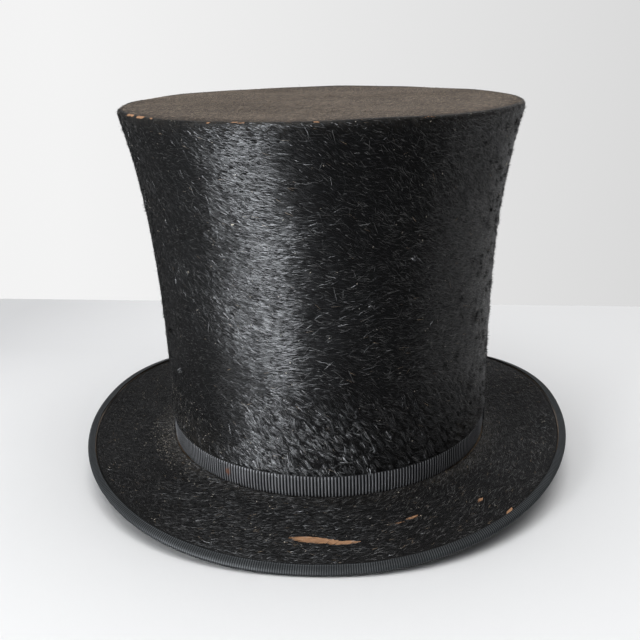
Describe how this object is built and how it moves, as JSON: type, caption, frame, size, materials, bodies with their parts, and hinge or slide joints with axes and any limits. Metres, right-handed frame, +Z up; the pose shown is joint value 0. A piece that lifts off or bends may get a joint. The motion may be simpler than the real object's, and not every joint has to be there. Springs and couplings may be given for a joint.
{
  "type": "top hat",
  "caption": "Old formal hat: tall flared oval crown in black plush, side-curled brim with ribbon edge, ribbed band and flat bow, leather-banded inside.",
  "frame": {"origin": "centre of the brim's outline, on the level of the brim's lowest edge, which the hat stands on", "axes": "+Z up through the crown, -Y towards the hat's front, +X towards the wearer's left"},
  "size_m": [0.25, 0.308, 0.1848],
  "materials": {
    "black_plush": "short brushed nap, soft sheen",
    "worn_plush": "worn short nap, matt",
    "shell_board": "varnished stiffened cloth board, satin",
    "joining_cloth": "varnished cloth strip",
    "under_cloth": "fine twill, matt",
    "ribbon_binding": "ribbed ribbon, soft sheen",
    "ribbed_ribbon": "ribbed ribbon, soft sheen",
    "dark_thread": "twisted thread",
    "silk_lining": "gathered silk, soft sheen",
    "band_leather": "aged thin leather, satin",
    "reed_cord": "cord in a rolled edge",
    "pale_thread": "twisted thread",
    "narrow_ribbon": "thin satin ribbon"
  },
  "bodies": {
    "root": {"crown_side_shell": "shell_board", "crown_tip_shell": "shell_board", "crown_brim_collar": "joining_cloth", "side_plush": "black_plush", "tip_plush": "worn_plush", "brim_core": "shell_board", "brim_top_plush": "black_plush", "brim_under_cloth": "under_cloth", "brim_binding": "ribbon_binding", "binding_stitches": "dark_thread", "hat_band": "ribbed_ribbon", "band_bow_loops": "ribbed_ribbon", "band_bow_keeper": "ribbed_ribbon", "side_lining": "silk_lining", "tip_lining": "silk_lining", "sweatband": "band_leather", "sweatband_reed": "reed_cord", "sweatband_stitches": "pale_thread", "inner_bow_loops": "narrow_ribbon", "inner_bow_knot": "narrow_ribbon", "inner_bow_tails": "narrow_ribbon"}
  },
  "joints": []
}
